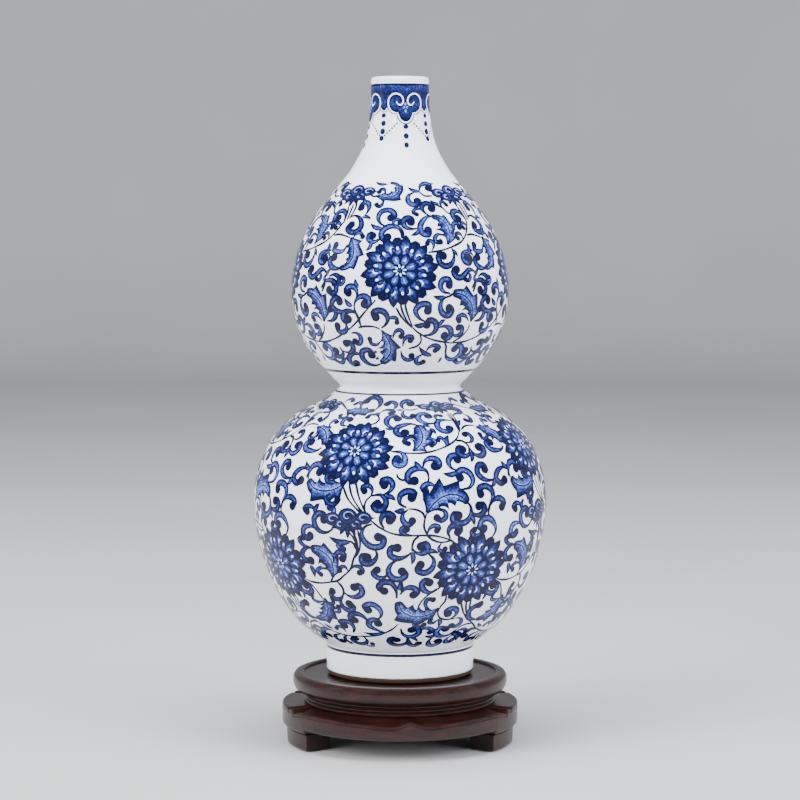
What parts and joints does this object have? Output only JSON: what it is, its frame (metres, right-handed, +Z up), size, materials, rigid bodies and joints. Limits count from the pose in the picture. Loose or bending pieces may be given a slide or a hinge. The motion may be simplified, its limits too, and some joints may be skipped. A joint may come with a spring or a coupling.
{
  "type": "double-gourd porcelain vase on a hardwood stand",
  "caption": "Double-gourd vase of glazed white porcelain, painted in blue with scrolling lotus, resting on a round waisted hardwood stand with carved apron and short legs.",
  "frame": {"origin": "on the surface the stand rests on, under the common axis of stand and vase", "axes": "+Z up along the vase's axis; -Y is the front, towards the carved apron's cusp; +X is to the right seen from the front"},
  "size_m": [0.1868, 0.1868, 0.4237],
  "materials": {
    "porcelain": "clear bluish-white gloss glaze",
    "cobalt_paint": "underglaze cobalt blue, washed from navy lines to pale fills",
    "rosewood": "dark red-brown, lacquered",
    "dowel_wood": "plain turned beech",
    "screw_steel": "plain zinc-plated",
    "felt": "pressed wool felt"
  },
  "bodies": {
    "stand": {"stand_top_plate": "rosewood", "stand_waist_ring": "rosewood", "stand_base_ring": "rosewood", "leg_front_left": "rosewood", "leg_front_right": "rosewood", "leg_back_left": "rosewood", "leg_back_right": "rosewood", "plate_screws": "screw_steel", "leg_dowels": "dowel_wood", "foot_pads": "felt"},
    "vase": {"foot_ring": "porcelain", "lower_bulb_base": "porcelain", "lower_bulb_crown": "porcelain", "waist_collar": "porcelain", "upper_bulb_base": "porcelain", "upper_bulb_crown": "porcelain", "neck": "porcelain"}
  },
  "joints": [
    {"name": "vase_lift", "type": "slide", "parent": "stand", "child": "vase", "axis": [0, 0, 1], "range_m": [0, 0.06]}
  ]
}
